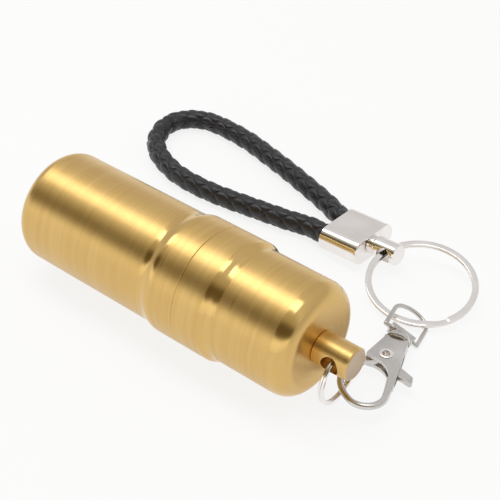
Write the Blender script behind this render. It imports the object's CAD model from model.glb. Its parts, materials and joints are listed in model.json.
"""Dresses the pill fob keychain: brushed capsule, clasp, rings and braided leather strap."""

import json
import math

import bmesh
import bpy
from mathutils import Matrix, Vector


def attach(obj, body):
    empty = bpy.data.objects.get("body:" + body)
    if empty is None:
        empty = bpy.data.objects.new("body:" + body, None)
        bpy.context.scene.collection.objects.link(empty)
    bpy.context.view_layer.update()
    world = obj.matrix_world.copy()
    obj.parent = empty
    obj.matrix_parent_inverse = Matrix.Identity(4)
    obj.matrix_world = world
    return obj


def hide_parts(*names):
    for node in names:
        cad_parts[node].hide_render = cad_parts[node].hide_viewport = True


bl_info = {
    "name": "Pill Fob Keychain",
    "version": (1, 0, 0),
    "blender": (4, 2, 0),
    "location": "View3D > Sidebar > Pill Fob",
    "description": "Builds a screw-top pill capsule with its clasp, rings and braided strap",
    "category": "Add Mesh",
}

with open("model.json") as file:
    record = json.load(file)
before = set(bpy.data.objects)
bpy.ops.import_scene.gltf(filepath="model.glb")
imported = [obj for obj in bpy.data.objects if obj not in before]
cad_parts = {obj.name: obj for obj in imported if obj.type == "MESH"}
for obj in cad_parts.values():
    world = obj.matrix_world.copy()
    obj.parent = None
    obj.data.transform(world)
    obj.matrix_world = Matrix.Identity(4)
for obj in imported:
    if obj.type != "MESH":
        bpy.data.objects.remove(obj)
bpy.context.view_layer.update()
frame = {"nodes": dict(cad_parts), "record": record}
MM = 0.001
TABLE_Z = -16.4

# Capsule, from its base at x 0, in mm
BODY_R = 15.5
CAP_R = 15.3
BAND_R = 16.4
WALL = 1.0
SEAM_X = 56.4
FLARE_START = 45.0
FLARE_LEN = 3.6
CAP_BAND_END = 65.0
SHOULDER_LEN = 2.6
CAPSULE_LEN = 90.0
BASE_ROUND = 4.2
DOME_ROUND = 4.9
SPIGOT_R = 2.0
STUD_LEN = 10.15
NECK_R = 14.4
NECK_WALL = 1.3
NECK_LEN = 9.0
THREAD_PITCH = 2.0
THREAD_DEPTH = 0.45
THREAD_STATIONS = 44


def turn(degrees, axis):
    """A rotation about one axis, in degrees."""
    return Matrix.Rotation(math.radians(degrees), 4, axis)


def at(x, y, z):
    """A move given in mm, as a matrix in metres."""
    return Matrix.Translation(Vector((x, y, z)) * MM)


CLASP = at(96.2, 24.77, -13.3) @ turn(-75.5, "Z") @ turn(-4, "Y")
KEY_RING = at(88.75, 47.2, -12.2) @ turn(125.3, "Z") @ turn(-8.4, "Y")
SMALL_RING = at(95.5, -0.1, -6.6) @ turn(90, "Y")
STRAP = at(75.4, 51.2, -10.7) @ turn(-4, "Z") @ turn(-6, "Y")

# Hook's bow, its tip's curve and the lever's rivet, in the clasp's own frame, in mm
HOOK_CENTRE = (21.18, -0.64)
HOOK_R = 4.95
TIP_R = 11.0
TIP_TURN = math.radians(31)
RIVET_AT = (7.2, -0.5)

# Split rings, in mm and degrees
KEY_RING_R = 14.25
KEY_RING_WIRE = 1.75
SMALL_RING_R = 6.9
SMALL_RING_WIRE = 1.0
COIL_HEIGHT = 1.3
COIL_SPLIT = 0.04
COIL_START = 205
COIL_JOG = 24
COIL_GAP = 3.0
COIL_STEPS = 240

# Strap, in its own frame, in mm
STRAP_ARM = 4.2
CAP_FACE = -5.4
CAP_MOUTH = -18.4
CORD_R = 3.0
LIE = TABLE_Z + CORD_R + 0.05
BRAID_PER_WAY = 3
BRAID_MEAN_R = 2.12
BRAID_WAVE = 0.36

# Base colours
GOLD = (0.74, 0.51, 0.20)
GOLD_DEEP = (0.60, 0.37, 0.11)
GOLD_PALE = (0.57, 0.44, 0.31)
NICKEL = (0.93, 0.90, 0.88)
NICKEL_WARM = (0.84, 0.80, 0.77)
DULL_NICKEL = (0.74, 0.72, 0.70)
DULL_NICKEL_WARM = (0.56, 0.54, 0.52)
LEATHER = (0.008, 0.008, 0.011)
LEATHER_WORN = (0.026, 0.025, 0.031)
RUBBER = (0.03, 0.03, 0.03)
GLUE = (0.45, 0.42, 0.33)
FLOOR = (0.95, 0.95, 0.95)

NODE_BODY = {
    node: body
    for body, nodes in frame["record"]["behaviour"]["bodies"].items()
    for node in nodes
}


# Mesh tools


def finish_mesh(bm, name, body, material, smooth_angle):
    """Turns a bmesh in metres into a piece that rides on a body."""
    bmesh.ops.remove_doubles(bm, verts=bm.verts, dist=1e-7)
    bmesh.ops.recalc_face_normals(bm, faces=bm.faces)
    mesh = bpy.data.meshes.new(name)
    bm.to_mesh(mesh)
    bm.free()
    piece = bpy.data.objects.new(name, mesh)
    bpy.context.scene.collection.objects.link(piece)
    mesh.materials.append(material)
    mesh.shade_smooth()
    mesh.set_sharp_from_angle(angle=math.radians(smooth_angle))
    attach(piece, body)
    return piece


def lofted(rings, points, place):
    """A closed tube made from a grid: place(u, v) is the point at u along and v around it."""
    bm = bmesh.new()
    bmesh.ops.create_grid(bm, x_segments=rings, y_segments=points, size=1.0)
    for vert in bm.verts:
        vert.co = place((vert.co.x + 1) / 2, (vert.co.y + 1) / 2)
    bmesh.ops.remove_doubles(bm, verts=bm.verts, dist=1e-7)
    rim = [edge for edge in bm.edges if edge.is_boundary]
    bmesh.ops.holes_fill(bm, edges=rim, sides=0)
    return bm


def turned(profile, steps):
    """Spins an outline of (x, r) points in mm about the X axis into a closed solid."""
    bm = bmesh.new()
    verts = [bm.verts.new((x * MM, 0, r * MM)) for x, r in profile]
    edges = [bm.edges.new(pair) for pair in zip(verts, verts[1:] + verts[:1])]
    bmesh.ops.spin(
        bm,
        geom=verts + edges,
        cent=(0, 0, 0),
        axis=(1, 0, 0),
        angle=math.tau,
        steps=steps,
        use_merge=True,
    )
    bmesh.ops.remove_doubles(bm, verts=bm.verts, dist=1e-7)
    return bm


def arc(cx, cr, radius, start, end, count):
    """Points on an arc about a centre in one plane, angles in degrees."""
    points = []
    for i in range(count + 1):
        angle = math.radians(start + (end - start) * i / count)
        points.append((cx + radius * math.cos(angle), cr + radius * math.sin(angle)))
    return points


def flare(x0, x1, r0, r1, count=12):
    """A smooth step between two radii."""
    points = []
    for i in range(count + 1):
        t = i / count
        points.append((x0 + (x1 - x0) * t, r0 + (r1 - r0) * (1 - math.cos(math.pi * t)) / 2))
    return points


def join_bmesh(whole, part):
    """Adds one bmesh to another."""
    mesh = bpy.data.meshes.new("joined")
    part.to_mesh(mesh)
    part.free()
    whole.from_mesh(mesh)
    bpy.data.meshes.remove(mesh)


def give_material(node, material):
    """Dresses a CAD node that keeps its own shape."""
    piece = frame["nodes"][node]
    piece.data.materials.clear()
    piece.data.materials.append(material)


def blunt(value, power):
    """A sine or cosine pushed toward its ends, which squares a round section."""
    return math.copysign(abs(value) ** power, value)


def round_edges(bm, edges, offset, segments):
    """Bevels edges by an offset in mm."""
    bmesh.ops.bevel(
        bm,
        geom=edges,
        offset=offset * MM,
        segments=segments,
        profile=0.5,
        affect="EDGES",
        material=-1,
        clamp_overlap=True,
    )


def even_normals(piece, weight):
    """Lets a piece's large faces shade flat."""
    evened = piece.modifiers.new("even_normals", "WEIGHTED_NORMAL")
    evened.keep_sharp = True
    evened.weight = weight


def copy_node(name, new_name, material, bevel, angle=40, shape=None):
    """A merged copy of a CAD node with rounded edges, which then stands for the node."""
    source = frame["nodes"][name]
    bm = bmesh.new()
    bm.from_mesh(source.data)
    bm.transform(source.matrix_world)
    bmesh.ops.remove_doubles(bm, verts=bm.verts, dist=2e-6)
    bmesh.ops.dissolve_limit(
        bm,
        angle_limit=math.radians(1.0),
        verts=bm.verts,
        edges=bm.edges,
        use_dissolve_boundaries=False,
    )
    if shape:
        shape(bm)
    sharp = [
        edge
        for edge in bm.edges
        if len(edge.link_faces) == 2 and edge.calc_face_angle(0) > math.radians(angle)
    ]
    round_edges(bm, sharp, bevel, 3)
    piece = finish_mesh(bm, new_name, NODE_BODY[name], material, 60)
    even_normals(piece, 100)
    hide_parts(name)


# Materials


def new_material(name, metallic, roughness, colour):
    """A new material in a plain finish, with its node tree and its shader."""
    material = bpy.data.materials.new(name)
    material.use_nodes = True
    tree = material.node_tree
    shader = tree.nodes["Principled BSDF"]
    shader.inputs["Metallic"].default_value = metallic
    shader.inputs["Roughness"].default_value = roughness
    shader.inputs["Base Color"].default_value = (*colour, 1)
    material.diffuse_color = (*colour, 1)
    return material, tree, shader


def feed(tree, socket, value):
    """Gives a socket a number, a colour or another node's output."""
    if isinstance(value, bpy.types.NodeSocket):
        tree.links.new(value, socket)
    elif isinstance(value, tuple):
        socket.default_value = (*value, 1)
    else:
        socket.default_value = value


def maths(tree, operation, *values, clamp=False):
    """The result of a sum on numbers and other nodes' outputs."""
    node = tree.nodes.new("ShaderNodeMath")
    node.operation = operation
    node.use_clamp = clamp
    for socket, value in zip(node.inputs, values):
        feed(tree, socket, value)
    return node.outputs[0]


def own_position(tree):
    """The position in the piece's own coordinates, in metres."""
    return tree.nodes.new("ShaderNodeTexCoord").outputs["Object"]


def parts_of(tree, vector):
    """A vector's three parts, under X, Y and Z."""
    split = tree.nodes.new("ShaderNodeSeparateXYZ")
    tree.links.new(vector, split.inputs["Vector"])
    return split.outputs


def noise_on(tree, vector, scale, detail, rough):
    """Noise on a position, with its own scale along each axis, in cells per metre."""
    mapping = tree.nodes.new("ShaderNodeMapping")
    mapping.inputs["Scale"].default_value = scale
    noise = tree.nodes.new("ShaderNodeTexNoise")
    noise.inputs["Scale"].default_value = 1.0
    noise.inputs["Detail"].default_value = detail
    noise.inputs["Roughness"].default_value = rough
    tree.links.new(vector, mapping.inputs["Vector"])
    tree.links.new(mapping.outputs["Vector"], noise.inputs["Vector"])
    return noise.outputs["Fac"]


def even_noise(tree, scale, detail, rough):
    """Noise of one scale every way, in cells per metre."""
    return noise_on(tree, own_position(tree), (scale, scale, scale), detail, rough)


def remap(tree, value, low, high, to_low, to_high):
    """Maps one range of a value to another, held at both ends."""
    node = tree.nodes.new("ShaderNodeMapRange")
    node.inputs["From Min"].default_value = low
    node.inputs["From Max"].default_value = high
    node.inputs["To Min"].default_value = to_low
    node.inputs["To Max"].default_value = to_high
    tree.links.new(value, node.inputs["Value"])
    return node.outputs["Result"]


def blend(tree, kind, factor, first, second):
    """A mix of two values or two colours, by a value from 0 to 1."""
    node = tree.nodes.new("ShaderNodeMix")
    node.data_type = kind
    feed(tree, node.inputs["Factor"], factor)
    feed(tree, node.inputs["A"], first)
    feed(tree, node.inputs["B"], second)
    return node.outputs["Result"]


def blend_colours(tree, factor, first, second):
    """A colour between two."""
    return blend(tree, "RGBA", factor, first, second)


def blend_values(tree, factor, first, second):
    """A value between two."""
    return blend(tree, "FLOAT", factor, first, second)


def add_bump(tree, shader, height, strength, distance_mm):
    """Bumps a shader by a height."""
    bump = tree.nodes.new("ShaderNodeBump")
    bump.inputs["Strength"].default_value = strength
    bump.inputs["Distance"].default_value = distance_mm * MM
    tree.links.new(height, bump.inputs["Height"])
    tree.links.new(bump.outputs["Normal"], shader.inputs["Normal"])


def round_lines(tree, fine, coarse, detail, rough):
    """Noise drawn out into lines that run round the X axis, on sides and end faces alike."""
    position = own_position(tree)
    parts = parts_of(tree, position)
    flat = tree.nodes.new("ShaderNodeVectorMath")
    flat.operation = "MULTIPLY"
    flat.inputs[1].default_value = (0, 1, 1)
    tree.links.new(position, flat.inputs[0])
    radius = tree.nodes.new("ShaderNodeVectorMath")
    radius.operation = "LENGTH"
    tree.links.new(flat.outputs["Vector"], radius.inputs[0])
    station = maths(tree, "ADD", parts["X"], radius.outputs["Value"])
    joined = tree.nodes.new("ShaderNodeCombineXYZ")
    for axis, value in (("X", station), ("Y", parts["Y"]), ("Z", parts["Z"])):
        tree.links.new(value, joined.inputs[axis])
    return noise_on(tree, joined.outputs["Vector"], (fine, coarse, coarse), detail, rough)


def brushed_gold(name, polished=(), pale_from=None):
    """Gold metal brushed round the X axis, polished in the given bands and paler from one x on."""
    material, tree, shader = new_material(name, 1.0, 0.3, GOLD)
    lines = round_lines(tree, 3800, 38, 6.0, 0.75)
    streaks = round_lines(tree, 700, 26, 4.0, 0.6)
    position = parts_of(tree, own_position(tree))["X"]
    mask = 0.0
    for start, end, soft in polished:
        rise = remap(tree, position, (start - soft) * MM, start * MM, 0.0, 1.0)
        fall = remap(tree, position, end * MM, (end + soft) * MM, 1.0, 0.0)
        mask = maths(tree, "MAXIMUM", mask, maths(tree, "MULTIPLY", rise, fall))
    fine = remap(tree, lines, 0.3, 0.7, 0.26, 0.40)
    tree.links.new(blend_values(tree, mask, fine, 0.17), shader.inputs["Roughness"])
    tone = maths(tree, "MULTIPLY_ADD", lines, 0.7, remap(tree, streaks, 0.3, 0.7, 0.1, 0.5))
    colour = blend_colours(tree, tone, GOLD_DEEP, GOLD)
    if pale_from:
        face = remap(tree, position, (pale_from - 0.05) * MM, pale_from * MM, 0.0, 1.0)
        colour = blend_colours(tree, face, colour, GOLD_PALE)
    tree.links.new(colour, shader.inputs["Base Color"])
    add_bump(tree, shader, blend_values(tree, mask, lines, 0.5), 0.30, 0.010)
    return material


def plated_steel(name, roughness, grain=900, dull=False):
    """Nickel plate with faint handling marks, bright or dull."""
    bright, warm = (DULL_NICKEL, DULL_NICKEL_WARM) if dull else (NICKEL, NICKEL_WARM)
    material, tree, shader = new_material(name, 1.0, roughness, bright)
    marks = even_noise(tree, grain, 6.0, 0.65)
    smear = even_noise(tree, 140, 3.0, 0.5)
    scuffed = remap(tree, marks, 0.35, 0.75, roughness * 0.8, roughness * 1.35)
    hazed = remap(tree, smear, 0.4, 0.7, 0.0, 0.05)
    tree.links.new(maths(tree, "ADD", scuffed, hazed), shader.inputs["Roughness"])
    tint = remap(tree, smear, 0.3, 0.7, 0.0, 1.0)
    tree.links.new(blend_colours(tree, tint, warm, bright), shader.inputs["Base Color"])
    add_bump(tree, shader, marks, 0.12, 0.01)
    return material


def black_leather(name):
    """Smooth finished leather with a fine grain and paler rubbed high spots."""
    material, tree, shader = new_material(name, 0.0, 0.38, LEATHER)
    grain = tree.nodes.new("ShaderNodeTexVoronoi")
    grain.inputs["Scale"].default_value = 2600
    tree.links.new(own_position(tree), grain.inputs["Vector"])
    fibre = even_noise(tree, 900, 5.0, 0.6)
    wear = even_noise(tree, 220, 3.0, 0.5)
    tree.links.new(remap(tree, wear, 0.35, 0.75, 0.26, 0.46), shader.inputs["Roughness"])
    rubbed = remap(tree, fibre, 0.35, 0.75, 0.0, 1.0)
    tree.links.new(
        blend_colours(tree, rubbed, LEATHER, LEATHER_WORN), shader.inputs["Base Color"]
    )
    height = maths(tree, "MULTIPLY_ADD", grain.outputs["Distance"], 0.6, fibre)
    add_bump(tree, shader, height, 0.35, 0.05)
    return material


def matte_polymer(name, colour, roughness):
    """Dull moulded rubber or set glue with a fine mottle."""
    material, tree, shader = new_material(name, 0.0, roughness, colour)
    mottle = even_noise(tree, 700, 4.0, 0.6)
    darker = tuple(channel * 0.7 for channel in colour)
    patches = remap(tree, mottle, 0.3, 0.7, 0.0, 1.0)
    tree.links.new(blend_colours(tree, patches, darker, colour), shader.inputs["Base Color"])
    add_bump(tree, shader, mottle, 0.2, 0.03)
    return material


# Settings


class PILLFOB_capsule_settings(bpy.types.PropertyGroup):
    """Sizes of the capsule."""

    spin_steps: bpy.props.IntProperty(
        name="Facets", description="Facets round the turned pieces", default=160, min=48, max=256
    )
    thread_pitch: bpy.props.FloatProperty(
        name="Thread pitch", description="Pitch of the screw thread, in mm", default=THREAD_PITCH
    )


class PILLFOB_strap_settings(bpy.types.PropertyGroup):
    """Sizes of the braided strap."""

    braid_repeat: bpy.props.FloatProperty(
        name="Braid repeat", description="Length of one crossing of the braid, in mm", default=5.7
    )
    strand_thick: bpy.props.FloatProperty(
        name="Strand thickness", description="Thickness of one leather strand, in mm", default=1.0
    )
    strand_width: bpy.props.FloatProperty(
        name="Strand width", description="Width of one leather strand, in mm", default=3.7
    )


class PILLFOB_stage_settings(bpy.types.PropertyGroup):
    """Light and floor."""

    key_power: bpy.props.FloatProperty(
        name="Key light", description="Power of the overhead soft light, in watts", default=0.68
    )
    floor_colour: bpy.props.FloatVectorProperty(
        name="Floor colour", description="Colour of the floor", subtype="COLOR", default=FLOOR
    )


# Camera first


CAMERA_AT = (213.46, -176.50, 204.34)
CAMERA_AZIMUTH = 39.46
CAMERA_ELEVATION = 39.15
CAMERA_LENS = 89.46
SENSOR = 36.0


class PILLFOB_OT_camera(bpy.types.Operator):
    """Puts the camera where the photograph was taken from"""

    bl_idname = "pillfob.camera"
    bl_label = "Camera"

    def execute(self, context):
        """Makes the camera."""
        data = bpy.data.cameras.new("view_camera")
        data.lens = CAMERA_LENS
        data.sensor_width = SENSOR
        data.sensor_fit = "HORIZONTAL"
        data.clip_start = 0.01
        data.clip_end = 20
        camera = bpy.data.objects.new("view_camera", data)
        camera.matrix_world = (
            at(*CAMERA_AT)
            @ turn(CAMERA_AZIMUTH, "Z")
            @ turn(90 - CAMERA_ELEVATION, "X")
        )
        context.scene.collection.objects.link(camera)
        context.scene.camera = camera
        return {"FINISHED"}


# Braided strap


def strap_point(x, y):
    """A point of the strap's own frame, in mm."""
    return STRAP @ (Vector((x, y, 0)) * MM)


def cord_route():
    """The braided cord's centre line, as it lies on the table, in metres."""
    lying = [
        (49.6, 48.6, LIE + 0.1),
        (43.8, 47.4, LIE),
        (36.8, 46.2, LIE),
        (30.3, 45.2, LIE),
        (24.6, 44.3, LIE),
        (18.8, 43.6, LIE),
        (12.5, 43.3, LIE),
        (6.4, 43.6, LIE),
        (1.9, 44.4, LIE),
        (-1.8, 45.6, LIE),
        (-6, 47.3, LIE),
        (-9.6, 49.6, LIE),
        (-12.9, 52.7, LIE),
        (-15.4, 57, LIE),
        (-16.4, 61.4, LIE),
        (-15.6, 65.4, LIE),
        (-13.2, 68.7, LIE),
        (-9.9, 70.8, LIE),
        (-6.2, 71.8, LIE),
        (-2, 72, LIE),
        (2.7, 71.8, LIE),
        (8.1, 71.2, LIE),
        (12.5, 70.4, LIE),
        (17.1, 69.3, LIE),
        (21.6, 68.2, LIE),
        (26.8, 66.9, LIE),
        (32.2, 65.4, LIE),
        (36.9, 64, LIE),
        (41.6, 62.6, LIE),
        (45.9, 61.2, LIE),
        (50, 59.6, LIE + 0.1),
    ]
    in_cap = (CAP_FACE - 4.82, CAP_MOUTH + 2, CAP_MOUTH - 1)
    start = [strap_point(x, -STRAP_ARM) for x in in_cap]
    end = [strap_point(x, STRAP_ARM) for x in reversed(in_cap)]
    return start + [Vector(point) * MM for point in lying] + end


def smooth_path(points, step):
    """Evenly spaced points on a smooth curve through the given ones."""
    fine = []
    for i in range(len(points) - 1):
        before = points[max(i - 1, 0)]
        a, b = points[i], points[i + 1]
        after = points[min(i + 2, len(points) - 1)]
        for k in range(16):
            t = k / 16
            fine.append(
                0.5
                * (
                    2 * a
                    + (b - before) * t
                    + (2 * before - 5 * a + 4 * b - after) * t * t
                    + (3 * a - before - 3 * b + after) * t ** 3
                )
            )
    fine.append(points[-1].copy())
    lengths = [0.0]
    for a, b in zip(fine, fine[1:]):
        lengths.append(lengths[-1] + (b - a).length)
    count = max(2, round(lengths[-1] / step))
    path = []
    k = 0
    for i in range(count + 1):
        goal = lengths[-1] * i / count
        while k < len(fine) - 2 and lengths[k + 1] < goal:
            k += 1
        span = lengths[k + 1] - lengths[k]
        path.append(fine[k].lerp(fine[k + 1], (goal - lengths[k]) / span if span else 0))
    return path, lengths[-1]


def path_frames(path):
    """A matrix at each point of a path, its x along the path, turning as little as it can."""
    frames = []
    side = Vector((0, 0, 1))
    for i, point in enumerate(path):
        ahead = (path[min(i + 1, len(path) - 1)] - path[max(i - 1, 0)]).normalized()
        side = (side - ahead * side.dot(ahead)).normalized()
        across = side.cross(ahead)
        frames.append(
            Matrix(
                (
                    (ahead.x, across.x, side.x, point.x),
                    (ahead.y, across.y, side.y, point.y),
                    (ahead.z, across.z, side.z, point.z),
                    (0, 0, 0, 1),
                )
            )
        )
    return frames


def strand_section(v, width, thick):
    """A flat strap's cross-section, crowned on its outer side: (across, out), in mm."""
    angle = math.tau * v
    across = blunt(math.cos(angle), 0.55) * width / 2
    out = blunt(math.sin(angle), 0.7) * thick / 2
    if out > 0:
        out += 0.10 * (1 - (2 * across / width) ** 2)
    return across, out


def braid_strand(path, frames, length, way, number, settings):
    """One strand of the braid, winding one way round the cord and passing over and under."""
    pitch = settings.braid_repeat * BRAID_PER_WAY * MM
    turns = length / pitch
    rings = len(path) - 1

    def centre(s):
        """The strand's middle at a share of the cord's length, and the way out from the cord."""
        t = min(max(s, 0.0), 1.0) * rings
        i = min(int(t), rings - 1)
        place = frames[i].lerp(frames[i + 1], t - i)
        angle = way * math.tau * turns * s + math.tau * number / BRAID_PER_WAY
        wave = way * math.cos(math.pi * 2 * BRAID_PER_WAY * turns * s)
        radius = (BRAID_MEAN_R + BRAID_WAVE * wave) * MM
        outward = place.to_3x3() @ Vector((0, math.sin(angle), math.cos(angle)))
        return place.translation + outward * radius, outward

    centres = [centre(i / rings) for i in range(rings + 1)]

    def point(u, v):
        """A point on the strand's skin."""
        i = round(u * rings)
        here, outward = centres[i]
        heading = (centres[min(i + 1, rings)][0] - centres[max(i - 1, 0)][0]).normalized()
        outward = (outward - heading * outward.dot(heading)).normalized()
        sideways = heading.cross(outward)
        across, out = strand_section(v, settings.strand_width, settings.strand_thick)
        # The strand hugs the cord as it goes round it
        drop = CORD_R - math.sqrt(max(CORD_R ** 2 - (across * 0.85) ** 2, 0.1))
        return here + (sideways * across + outward * (out - drop * 0.55)) * MM

    return lofted(rings, 12, point)


class PILLFOB_OT_strap_cord(bpy.types.Operator):
    """Braids the leather cord along its route"""

    bl_idname = "pillfob.strap_cord"
    bl_label = "Braided cord"

    def execute(self, context):
        """Makes the cord from six flat strands over a core."""
        settings = context.scene.pillfob_strap
        path, length = smooth_path(cord_route(), 0.45 * MM)
        frames = path_frames(path)
        whole = bmesh.new()
        for way in (1, -1):
            for number in range(BRAID_PER_WAY):
                strand = braid_strand(path, frames, length, way, number, settings)
                join_bmesh(whole, strand)

        def core(u, v):
            """A point on the round core that fills the braid."""
            place = frames[round(u * (len(path) - 1))]
            angle = math.tau * v
            return place @ (Vector((0, math.cos(angle), math.sin(angle))) * 1.75 * MM)

        join_bmesh(whole, lofted(len(path) - 1, 12, core))
        piece = finish_mesh(
            whole, "braided_cord", "strap", black_leather("black_leather"), 50
        )
        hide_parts("strap_cord")
        return {"FINISHED"}


# Capsule


class PILLFOB_OT_capsule(bpy.types.Operator):
    """Turns the capsule's two shells, its threads and its stud"""

    bl_idname = "pillfob.capsule"
    bl_label = "Capsule"

    def execute(self, context):
        """Makes the turned pieces."""
        settings = context.scene.pillfob_capsule
        steps = settings.spin_steps
        band_in = BAND_R - WALL
        lip = 0.18
        outer = [(0, 0.001), (0, BODY_R - BASE_ROUND)]
        outer += arc(BASE_ROUND, BODY_R - BASE_ROUND, BASE_ROUND, 180, 90, 12)
        outer += flare(FLARE_START, FLARE_START + FLARE_LEN, BODY_R, BAND_R)
        outer += [(SEAM_X - lip, BAND_R), (SEAM_X, BAND_R - lip)]
        inner = [(SEAM_X, band_in)]
        inner += flare(FLARE_START + FLARE_LEN, FLARE_START, band_in, BODY_R - WALL)
        inner += arc(BASE_ROUND, BODY_R - BASE_ROUND, BASE_ROUND - WALL, 90, 180, 8)
        inner += [(WALL, 0.001)]
        vessel_gold = brushed_gold(
            "vessel_gold",
            [
                (0.4, BASE_ROUND - 1.2, 0.8),
                (FLARE_START - 0.5, FLARE_START + FLARE_LEN, 0.8),
            ],
        )
        vessel = finish_mesh(
            turned(outer + inner, steps), "vessel_body", "vessel", vessel_gold, 30
        )
        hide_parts("vessel_shell")

        seam = SEAM_X + 0.02
        outer = [(seam, BAND_R - lip), (seam + lip, BAND_R)]
        outer += flare(CAP_BAND_END, CAP_BAND_END + SHOULDER_LEN, BAND_R, CAP_R)
        outer += arc(CAPSULE_LEN - DOME_ROUND, CAP_R - DOME_ROUND, DOME_ROUND, 90, 0, 20)
        outer += [(CAPSULE_LEN, SPIGOT_R + 0.1)]
        inner = [(CAPSULE_LEN - WALL, SPIGOT_R + 0.1)]
        inner += arc(CAPSULE_LEN - DOME_ROUND, CAP_R - DOME_ROUND, DOME_ROUND - WALL, 0, 90, 16)
        inner += flare(CAP_BAND_END + SHOULDER_LEN, CAP_BAND_END, CAP_R - WALL, band_in)
        inner += [(seam, band_in)]
        cap_gold = brushed_gold(
            "cap_gold",
            [
                (CAP_BAND_END, CAP_BAND_END + SHOULDER_LEN + 0.4, 0.7),
                (CAPSULE_LEN - DOME_ROUND + 0.6, CAPSULE_LEN - 1.5, 0.9),
            ],
        )
        cap = finish_mesh(
            turned(outer + inner, steps), "cap_body", "cap", cap_gold, 30
        )
        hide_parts("cap_shell")

        self.threads(steps, settings.thread_pitch, brushed_gold("neck_gold"))
        stud_gold = brushed_gold("stud_gold", pale_from=CAPSULE_LEN + STUD_LEN)
        copy_node("cap_stud", "cross_drilled_stud", stud_gold, 0.12, 35)
        return {"FINISHED"}

    def threads(self, steps, pitch, material):
        """The neck's outer thread and the cap's inner one."""
        neck_in = NECK_R - NECK_WALL
        band_in = BAND_R - WALL
        foot, top = SEAM_X - 7, SEAM_X + NECK_LEN
        start, end = SEAM_X + 2.0, top - 0.5
        neck = [(foot, neck_in), (top - 0.4, neck_in), (top, neck_in + 0.3)]
        lines = [(top, NECK_R - 0.7), (end, NECK_R - 0.3)]
        lines += [
            (end + (start - end) * i / THREAD_STATIONS, NECK_R)
            for i in range(1, THREAD_STATIONS + 1)
        ]
        lines += [(SEAM_X + 1.8, NECK_R), (SEAM_X, NECK_R), (SEAM_X, band_in), (foot, band_in)]
        bm = turned(neck + lines, steps)
        self.cut_thread(bm, start, end, NECK_R, pitch, -1)
        piece = finish_mesh(bm, "neck_thread", "vessel", material, 60)
        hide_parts("vessel_neck_ring")

        inner_r = NECK_R + 0.1
        x0, x1 = SEAM_X + 1.5, CAP_BAND_END - 0.2
        profile = [(x0, band_in), (x0, inner_r + 0.3), (x0 + 0.3, inner_r)]
        profile += [
            (x0 + 0.3 + (x1 - x0 - 0.6) * i / THREAD_STATIONS, inner_r)
            for i in range(1, THREAD_STATIONS + 1)
        ]
        profile += [(x1, inner_r + 0.3), (x1, band_in)]
        bm = turned(profile, steps)
        self.cut_thread(bm, x0 + 0.3, x1 - 0.3, inner_r, pitch, 1)
        piece = finish_mesh(bm, "cap_thread", "cap", material, 60)
        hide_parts("cap_thread_ring")

    def cut_thread(self, bm, start, end, radius, pitch, way):
        """Moves the skin between two stations in or out along a helix."""
        for vert in bm.verts:
            x = vert.co.x / MM
            r = math.hypot(vert.co.y, vert.co.z) / MM
            if not start - 1e-4 <= x <= end + 1e-4 or abs(r - radius) > 0.01:
                continue
            angle = math.atan2(vert.co.z, vert.co.y) / math.tau
            phase = (x / pitch - angle) % 1.0
            wave = 0.5 + 0.5 * math.cos(math.tau * phase)
            fade = min(1.0, (x - start) / 1.0, (end - x) / 1.0)
            depth = way * THREAD_DEPTH * (1 - wave) * max(fade, 0.0)
            scale = (r + depth) / r
            vert.co.y *= scale
            vert.co.z *= scale


# Rings


def coil_points(radius):
    """A split ring's wire: two turns, one over the other, as middle points and ways outward."""
    points = []
    sweep = 720 - 2 * COIL_GAP
    for i in range(COIL_STEPS + 1):
        angle = COIL_GAP + sweep * i / COIL_STEPS
        if angle < 360 - COIL_JOG:
            level = 1.0
        elif angle < 360:
            level = math.cos(math.pi * (angle - 360 + COIL_JOG) / COIL_JOG)
        else:
            level = -1.0
        heading = math.radians(angle + COIL_START)
        outward = Vector((math.cos(heading), math.sin(heading), 0))
        points.append((outward * radius + Vector((0, 0, level * COIL_HEIGHT / 4)), outward))
    return points


def split_ring(name, place, radius, wire, body, node, material):
    """A two-turn split ring of flat wire with rounded edges."""
    thick = (COIL_HEIGHT - COIL_SPLIT) / 2
    points = coil_points(radius)

    def point(u, v):
        """A point on the wire's skin."""
        centre, outward = points[round(u * COIL_STEPS)]
        angle = math.tau * v
        across = blunt(math.cos(angle), 0.5) * wire / 2
        up = blunt(math.sin(angle), 0.5) * thick / 2
        return place @ ((centre + outward * across + Vector((0, 0, up))) * MM)

    piece = finish_mesh(lofted(COIL_STEPS, 16, point), name, body, material, 50)
    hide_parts(node)


class PILLFOB_OT_rings(bpy.types.Operator):
    """Winds the key ring and the small ring"""

    bl_idname = "pillfob.rings"
    bl_label = "Split rings"

    def execute(self, context):
        """Makes both rings and plates the D-ring."""
        steel = plated_steel("ring_nickel", 0.13)
        split_ring(
            "key_ring_coil",
            KEY_RING,
            KEY_RING_R,
            KEY_RING_WIRE,
            "key_ring",
            "key_ring",
            steel,
        )
        split_ring(
            "small_ring_coil",
            SMALL_RING,
            SMALL_RING_R,
            SMALL_RING_WIRE,
            "small_ring",
            "small_split_ring",
            steel,
        )
        give_material("d_ring", plated_steel("wire_nickel", 0.12, dull=True))
        return {"FINISHED"}


# Clasp and swivel


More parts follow.
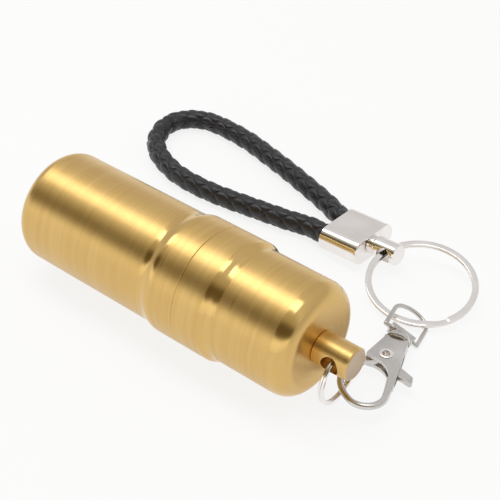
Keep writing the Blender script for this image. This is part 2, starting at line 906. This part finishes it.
class PILLFOB_OT_clasp(bpy.types.Operator):
    """Rounds and plates the trigger clasp, its lever and its swivel"""

    bl_idname = "pillfob.clasp"
    bl_label = "Clasp"

    def execute(self, context):
        """Makes the clasp's pieces."""
        cast = plated_steel("clasp_nickel", 0.22, dull=True)
        copy_node("clasp_hook", "clasp_body", cast, 0.3, shape=self.thin_body)
        copy_node("clasp_lever", "lever", cast, 0.18, shape=self.round_tab)
        copy_node("swivel_head", "swivel", cast, 0.18)
        self.hook_bar(cast)
        self.rivet(plated_steel("rivet_nickel", 0.2))
        give_material("lever_spring", plated_steel("spring_steel", 0.25))
        return {"FINISHED"}

    def thin_body(self, bm):
        """Thins the body's plate toward its end until it sinks into the hook's bar."""
        plate_z, start, end = 1.6, 11.0, 17.8
        share_per_mm = 0.64 / 6.6
        local = CLASP.inverted()
        for vert in bm.verts:
            point = local @ vert.co
            along, height = point.x / MM, point.z / MM
            if abs(height) > plate_z and start < along < end:
                point.z *= 1 - share_per_mm * (along - start)
                vert.co = CLASP @ point

    def round_tab(self, bm):
        """Narrows the lever's thumb tab about its leaning middle line and rounds its corners."""
        tab_y, corner_y = 4.5, 7.5
        middle_x, middle_y, lean = 10.5, 3.0, 0.4
        narrowing = 0.66
        local = CLASP.inverted()
        for vert in bm.verts:
            point = local @ vert.co
            if point.y > tab_y * MM:
                middle = (middle_x + (point.y / MM - middle_y) * lean) * MM
                point.x = middle + (point.x - middle) * narrowing
                vert.co = CLASP @ point
        corners = []
        for edge in bm.edges:
            a, b = (local @ vert.co for vert in edge.verts)
            upright = abs(a.z - b.z) > 0.9 * MM and (a - b).xy.length < 0.01 * MM
            if upright and a.y > corner_y * MM:
                corners.append(edge)
        round_edges(bm, corners, 0.8, 4)

    def hook_bar(self, material):
        """The hook's bar, thick where it leaves the body and slimmer at its open tip."""
        bar_r, slimming, tip_round = 1.05, 0.25, 0.8
        stem = [(13.6, 3.3), (15.2, 3.5), (17.0, 3.8), (18.8, 4.08)]
        bow = arc(*HOOK_CENTRE, HOOK_R, 99, -26, 25)
        turn_x = bow[-1][0] - TIP_R * math.cos(TIP_TURN)
        turn_y = bow[-1][1] + TIP_R * math.sin(TIP_TURN)
        tip = arc(turn_x, turn_y, TIP_R, -35, -80, 9)
        route = [CLASP @ (Vector((x, y, 0)) * MM) for x, y in stem + bow + tip]
        path, length = smooth_path(route, 0.3 * MM)
        frames = path_frames(path)
        rings = len(path) - 1

        def point(u, v):
            """A point on the bar's skin."""
            angle = math.tau * v
            radius = bar_r - slimming * min(1.0, u * 1.3)
            ends = min(1.0, (1 - u) * length / (tip_round * MM))
            radius *= math.sqrt(max(0.02, 1 - (1 - ends) ** 2))
            around = Vector((0, math.cos(angle), math.sin(angle)))
            return frames[round(u * rings)] @ (around * radius * MM)

        finish_mesh(
            lofted(rings, 20, point), "hook_bar", "clasp", material, 50
        )

    def rivet(self, material):
        """The lever's rivet, a raised ring round a dark sunk end."""
        top = 1.7
        profile = [(-2.0, 0.001), (-2.0, 1.4), (-1.8, 1.6), (-1.7, 1.6), (-1.7, 0.88)]
        profile += [(top, 0.88), (top, 1.7), (top + 0.14, 1.8), (top + 0.26, 1.66)]
        profile += [(top + 0.3, 1.4), (top + 0.2, 1.1), (top - 1.5, 0.92), (top - 1.5, 0.001)]
        bm = turned(profile, 48)
        place = CLASP @ at(*RIVET_AT, 0) @ turn(-90, "Y")
        bmesh.ops.transform(bm, matrix=place, verts=bm.verts)
        piece = finish_mesh(bm, "rivet", "clasp", material, 40)
        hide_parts("lever_rivet")


# Strap fittings


class PILLFOB_OT_strap_fittings(bpy.types.Operator):
    """Rounds and plates the strap's end cap, its plate and its post"""

    bl_idname = "pillfob.strap_fittings"
    bl_label = "Strap fittings"

    def execute(self, context):
        """Makes the fittings."""
        polished = plated_steel("cap_nickel", 0.09, 350)
        self.end_cap(polished)
        copy_node("strap_end_plate", "strap_plate", polished, 0.2)
        copy_node("strap_post", "swivel_post", polished, 0.15)
        give_material("post_washer", plated_steel("washer_nickel", 0.2))
        give_material("strap_glue_plug", matte_polymer("set_glue", GLUE, 0.5))
        return {"FINISHED"}

    def end_cap(self, material):
        """A flat-sided cap with round edges and a closed end, open to the two cord ends."""
        half_w, half_h, wall, rounding = 8.5, 3.7, 0.6, 0.55
        profile = [(CAP_FACE - 1.5, half_h - 0.01), (CAP_FACE - 1.5, wall)]
        profile += [(CAP_MOUTH + 0.15, wall), (CAP_MOUTH, wall - 0.12), (CAP_MOUTH, 0.15)]
        profile += [(CAP_MOUTH + 0.15, 0.0)]
        profile += [
            (CAP_FACE - rounding * (1 - math.sin(angle)), rounding * (1 - math.cos(angle)))
            for angle in (math.radians(90 * i / 8) for i in range(9))
        ]
        profile += [(CAP_FACE, rounding + 0.3), (CAP_FACE, half_h - 0.01)]
        straight = half_w - half_h

        def point(u, v):
            """A point on the cap's skin, inside or out."""
            x, inset = profile[round(u * (len(profile) - 1))]
            radius = half_h - inset
            across, up = math.cos(math.tau * v), math.sin(math.tau * v)
            side = math.copysign(straight, across) if abs(across) > 1e-6 else 0
            return STRAP @ (Vector((x, side + radius * across, radius * up)) * MM)

        piece = finish_mesh(
            lofted(len(profile) - 1, 96, point), "strap_cap", "strap", material, 30
        )
        even_normals(piece, 50)
        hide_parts("strap_end_cap")


class PILLFOB_OT_inner_parts(bpy.types.Operator):
    """Dresses the seal, nut and washer inside the capsule"""

    bl_idname = "pillfob.inner_parts"
    bl_label = "Inner parts"

    def execute(self, context):
        """Gives the hidden CAD nodes their finishes."""
        rubber = matte_polymer("seal_rubber", RUBBER, 0.6)
        give_material("neck_seal_ring", rubber)
        give_material("stud_seal_washer", rubber)
        give_material("stud_nut", plated_steel("nut_nickel", 0.2))
        return {"FINISHED"}


# Stage


# Colours of the studio round the X axis, from the far horizon over the top to the near one
STUDIO_BANDS = (
    (0.0, (0.70, 0.70, 0.70)),
    (0.10, (0.52, 0.515, 0.51)),
    (0.24, (0.54, 0.53, 0.525)),
    (0.38, (0.585, 0.585, 0.585)),
    (0.52, (0.645, 0.645, 0.645)),
    (0.64, (0.42, 0.40, 0.32)),
    (0.74, (0.10, 0.077, 0.04)),
    (0.83, (0.12, 0.092, 0.05)),
    (0.90, (1.0, 1.0, 0.95)),
    (1.0, (0.85, 0.85, 0.85)),
)
POLE_GREY = (0.50, 0.49, 0.48)
STUDIO_LIGHT = 1.3
STRIP_SIZE = (640, 150)
STRIP_AT = (-110, 0, 400)
STRIP_AIM = (-110, 0, 0)
FLOOR_AT = (50, 30, TABLE_Z - 0.02)
FLOOR_LIFT = 0.84


def area_light(name, size, power, location, target):
    """A rectangular soft light aimed at a point, positions in mm."""
    data = bpy.data.lights.new(name, "AREA")
    data.shape = "RECTANGLE"
    data.size = size[0] * MM
    data.size_y = size[1] * MM
    data.energy = power
    lamp = bpy.data.objects.new(name, data)
    place = Vector(location) * MM
    aim = (Vector(target) * MM - place).to_track_quat("-Z", "Y")
    lamp.matrix_world = Matrix.Translation(place) @ aim.to_matrix().to_4x4()
    bpy.context.scene.collection.objects.link(lamp)


class PILLFOB_OT_stage(bpy.types.Operator):
    """Lays the pale floor and sets the soft lights"""

    bl_idname = "pillfob.stage"
    bl_label = "Stage"

    def execute(self, context):
        """Makes the floor, the light and the world."""
        settings = context.scene.pillfob_stage
        self.lay_floor(context, settings.floor_colour)
        area_light("overhead_strip", STRIP_SIZE, settings.key_power, STRIP_AT, STRIP_AIM)
        self.set_world(context)
        context.scene.view_settings.view_transform = "Standard"
        return {"FINISHED"}

    def lay_floor(self, context, colour):
        """A wide pale floor just under the part."""
        bm = bmesh.new()
        bmesh.ops.create_grid(bm, x_segments=1, y_segments=1, size=3.0)
        bmesh.ops.translate(bm, verts=bm.verts, vec=Vector(FLOOR_AT) * MM)
        mesh = bpy.data.meshes.new("floor")
        bm.to_mesh(mesh)
        bm.free()
        floor = bpy.data.objects.new("floor", mesh)
        context.scene.collection.objects.link(floor)
        material, tree, shader = new_material("pale_floor", 0.0, 0.9, colour)
        self.show_white(tree, shader)
        mesh.materials.append(material)

    def show_white(self, tree, shader):
        """Lifts the floor to white where it is seen straight or in metal, and keeps its shadows."""
        rays = tree.nodes.new("ShaderNodeLightPath").outputs
        seen = maths(tree, "ADD", rays["Is Camera Ray"], rays["Is Glossy Ray"])
        clear = maths(tree, "ADD", seen, rays["Is Transmission Ray"], clamp=True)
        glow = tree.nodes.new("ShaderNodeEmission")
        mix = tree.nodes.new("ShaderNodeMixShader")
        tree.links.new(maths(tree, "MULTIPLY", clear, FLOOR_LIFT), mix.inputs["Fac"])
        tree.links.new(shader.outputs["BSDF"], mix.inputs[1])
        tree.links.new(glow.outputs["Emission"], mix.inputs[2])
        tree.links.new(mix.outputs["Shader"], tree.nodes["Material Output"].inputs["Surface"])

    def set_world(self, context):
        """A studio in soft bands round the X axis, with plain grey at its two poles."""
        world = bpy.data.worlds.new("studio")
        context.scene.world = world
        world.use_nodes = True
        tree = world.node_tree
        background = tree.nodes["Background"]
        coords = tree.nodes.new("ShaderNodeTexCoord")
        parts = parts_of(tree, coords.outputs["Generated"])
        swing = maths(tree, "DIVIDE", maths(tree, "ARCTAN2", parts["Z"], parts["Y"]), math.pi)
        ramp = tree.nodes.new("ShaderNodeValToRGB")
        ramp.color_ramp.interpolation = "EASE"
        stops = ramp.color_ramp.elements
        for stop, (position, colour) in zip(stops, (STUDIO_BANDS[0], STUDIO_BANDS[-1])):
            stop.position, stop.color = position, (*colour, 1)
        for position, colour in STUDIO_BANDS[1:-1]:
            stops.new(position).color = (*colour, 1)
        tree.links.new(swing, ramp.inputs["Fac"])
        pole = remap(tree, maths(tree, "ABSOLUTE", parts["X"]), 0.86, 0.99, 0.0, 1.0)
        colour = blend_colours(tree, pole, ramp.outputs["Color"], POLE_GREY)
        tree.links.new(colour, background.inputs["Color"])
        background.inputs["Strength"].default_value = STUDIO_LIGHT


class PILLFOB_PT_panel(bpy.types.Panel):
    """Lists the keychain's pieces"""

    bl_idname = "PILLFOB_PT_panel"
    bl_label = "Pill Fob Keychain"
    bl_space_type = "VIEW_3D"
    bl_region_type = "UI"
    bl_category = "Pill Fob"

    def draw(self, context):
        """Shows the sizes and one button for each group of pieces."""
        layout = self.layout
        scene = context.scene
        for group in (scene.pillfob_capsule, scene.pillfob_strap, scene.pillfob_stage):
            for name in group.bl_rna.properties.keys():
                if name not in {"rna_type", "name"}:
                    layout.prop(group, name)
        for step in STEPS:
            layout.operator(step.bl_idname)


STEPS = (
    PILLFOB_OT_camera,
    PILLFOB_OT_strap_cord,
    PILLFOB_OT_capsule,
    PILLFOB_OT_rings,
    PILLFOB_OT_clasp,
    PILLFOB_OT_strap_fittings,
    PILLFOB_OT_inner_parts,
    PILLFOB_OT_stage,
)
GROUPS = {
    "pillfob_capsule": PILLFOB_capsule_settings,
    "pillfob_strap": PILLFOB_strap_settings,
    "pillfob_stage": PILLFOB_stage_settings,
}


def register():
    """Registers the settings, the operators and the panel."""
    for name, group in GROUPS.items():
        bpy.utils.register_class(group)
        setattr(bpy.types.Scene, name, bpy.props.PointerProperty(type=group))
    for step in STEPS:
        bpy.utils.register_class(step)
    bpy.utils.register_class(PILLFOB_PT_panel)


def unregister():
    """Takes them all out again."""
    bpy.utils.unregister_class(PILLFOB_PT_panel)
    for step in reversed(STEPS):
        bpy.utils.unregister_class(step)
    for name, group in GROUPS.items():
        delattr(bpy.types.Scene, name)
        bpy.utils.unregister_class(group)


def main():
    """Builds every piece in order."""
    register()
    bpy.ops.pillfob.camera()
    bpy.ops.pillfob.strap_cord()
    bpy.ops.pillfob.capsule()
    bpy.ops.pillfob.rings()
    bpy.ops.pillfob.clasp()
    bpy.ops.pillfob.strap_fittings()
    bpy.ops.pillfob.inner_parts()
    bpy.ops.pillfob.stage()


if __name__ == "__main__":
    main()
